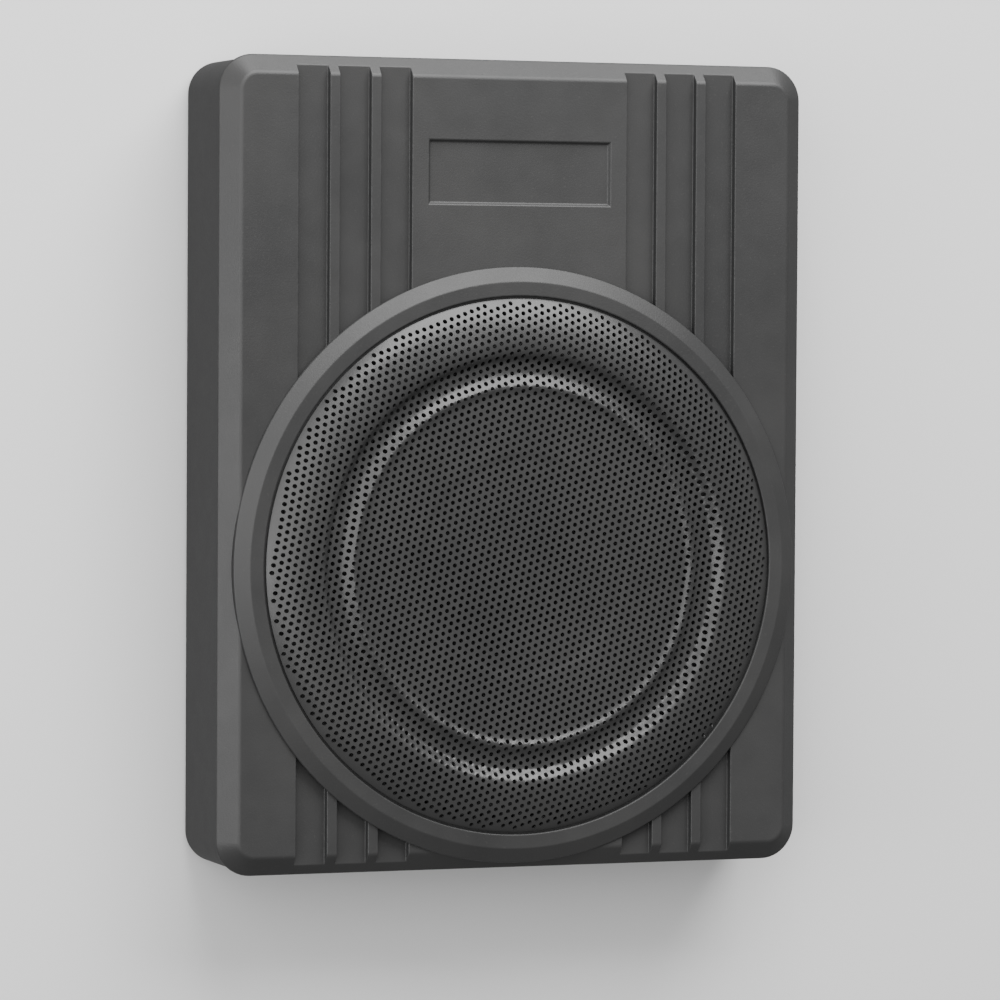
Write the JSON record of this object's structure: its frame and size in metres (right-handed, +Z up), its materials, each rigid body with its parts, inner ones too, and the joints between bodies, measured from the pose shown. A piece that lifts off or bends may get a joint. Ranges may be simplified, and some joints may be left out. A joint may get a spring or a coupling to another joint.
{
  "type": "powered car subwoofer",
  "caption": "Slim rectangular under-seat subwoofer with an amplifier inside, a round perforated grille in a raised ring, recessed channels on the cover and a connection bay in one end.",
  "frame": {"origin": "on the floor under the middle of the box", "axes": "+Z up and out of the grille, +Y along the length toward the amplifier and the connection bay, +X across the width"},
  "size_m": [0.26, 0.34, 0.07],
  "materials": {
    "cover_paint": "dark grey fine-textured powder paint on die-cast aluminium",
    "grille_steel": "satin dark grey coated perforated steel",
    "basket_steel": "black coated pressed steel",
    "black_rubber": "matt black rubber",
    "cone_paper": "black pressed paper",
    "former_film": "brown heat-resistant film",
    "copper_wire": "enamelled copper",
    "spider_cloth": "resin-dipped cotton cloth",
    "plated_steel": "zinc plated steel",
    "ferrite": "ground grey ferrite",
    "black_screw_steel": "black oxide steel",
    "black_plastic": "matt black moulded plastic",
    "capacitor_sleeve": "dark shrink sleeve",
    "heat_sink_aluminium": "extruded aluminium",
    "circuit_board": "green solder mask on glass-epoxy board",
    "led_lens": "clear green lens"
  },
  "bodies": {
    "enclosure": {"amp_board": "circuit_board", "base_housing": "cover_paint", "basket": "basket_steel", "bass_boost_potentiometer": "plated_steel", "board_screw_1": "plated_steel", "board_screw_2": "plated_steel", "capacitor_1": "capacitor_sleeve", "capacitor_2": "capacitor_sleeve", "choke_core": "ferrite", "choke_winding": "copper_wire", "control_panel": "black_plastic", "cover_gasket": "black_rubber", "cover_screw_1": "black_screw_steel", "cover_screw_2": "black_screw_steel", "cover_screw_3": "black_screw_steel", "cover_screw_4": "black_screw_steel", "cover_screw_5": "black_screw_steel", "cover_screw_6": "black_screw_steel", "crossover_potentiometer": "plated_steel", "foot_1": "black_rubber", "foot_2": "black_rubber", "foot_3": "black_rubber", "foot_4": "black_rubber", "gain_potentiometer": "plated_steel", "grille_mesh": "grille_steel", "grille_ring": "cover_paint", "heat_sink": "heat_sink_aluminium", "high_level_socket": "black_plastic", "magnet": "ferrite", "panel_screw_1": "black_screw_steel", "panel_screw_2": "black_screw_steel", "phase_switch_body": "plated_steel", "phono_jacks": "plated_steel", "power_led": "led_lens", "power_socket": "black_plastic", "speaker_lead": "black_rubber", "spider": "spider_cloth", "surround": "black_rubber", "terminal_strip": "black_plastic", "tinsel_lead_1": "copper_wire", "tinsel_lead_2": "copper_wire", "top_cover": "cover_paint", "top_plate": "plated_steel", "transistor_1": "black_plastic", "transistor_2": "black_plastic", "woofer_gasket": "black_rubber", "woofer_screw_1": "black_screw_steel", "woofer_screw_2": "black_screw_steel", "woofer_screw_3": "black_screw_steel", "woofer_screw_4": "black_screw_steel", "yoke": "plated_steel"},
    "cone_assembly": {"cone": "cone_paper", "dust_cap": "cone_paper", "voice_coil_former": "former_film", "voice_coil_winding": "copper_wire"},
    "gain_dial": {"gain_knob": "black_plastic"},
    "bass_boost_dial": {"bass_boost_knob": "black_plastic"},
    "crossover_dial": {"crossover_knob": "black_plastic"},
    "phase_slider": {"phase_switch_slider": "black_plastic"}
  },
  "joints": [
    {"name": "cone_travel", "type": "slide", "parent": "enclosure", "child": "cone_assembly", "axis": [0, 0, 1], "range_m": [-0.005, 0.005], "stiffness_N_per_m": 4000, "deforming": ["surround", "spider", "tinsel_lead_1", "tinsel_lead_2"]},
    {"name": "gain_turn", "type": "hinge", "parent": "enclosure", "child": "gain_dial", "pos_m": [-0.034, 0.1593, 0.024], "axis": [0, 1, 0], "range_deg": [-150, 150]},
    {"name": "bass_boost_turn", "type": "hinge", "parent": "enclosure", "child": "bass_boost_dial", "pos_m": [-0.052, 0.1593, 0.024], "axis": [0, 1, 0], "range_deg": [-150, 150]},
    {"name": "crossover_turn", "type": "hinge", "parent": "enclosure", "child": "crossover_dial", "pos_m": [-0.07, 0.1593, 0.024], "axis": [0, 1, 0], "range_deg": [-150, 150]},
    {"name": "phase_switch_slide", "type": "slide", "parent": "enclosure", "child": "phase_slider", "axis": [1, 0, 0], "range_m": [0, 0.004]}
  ]
}
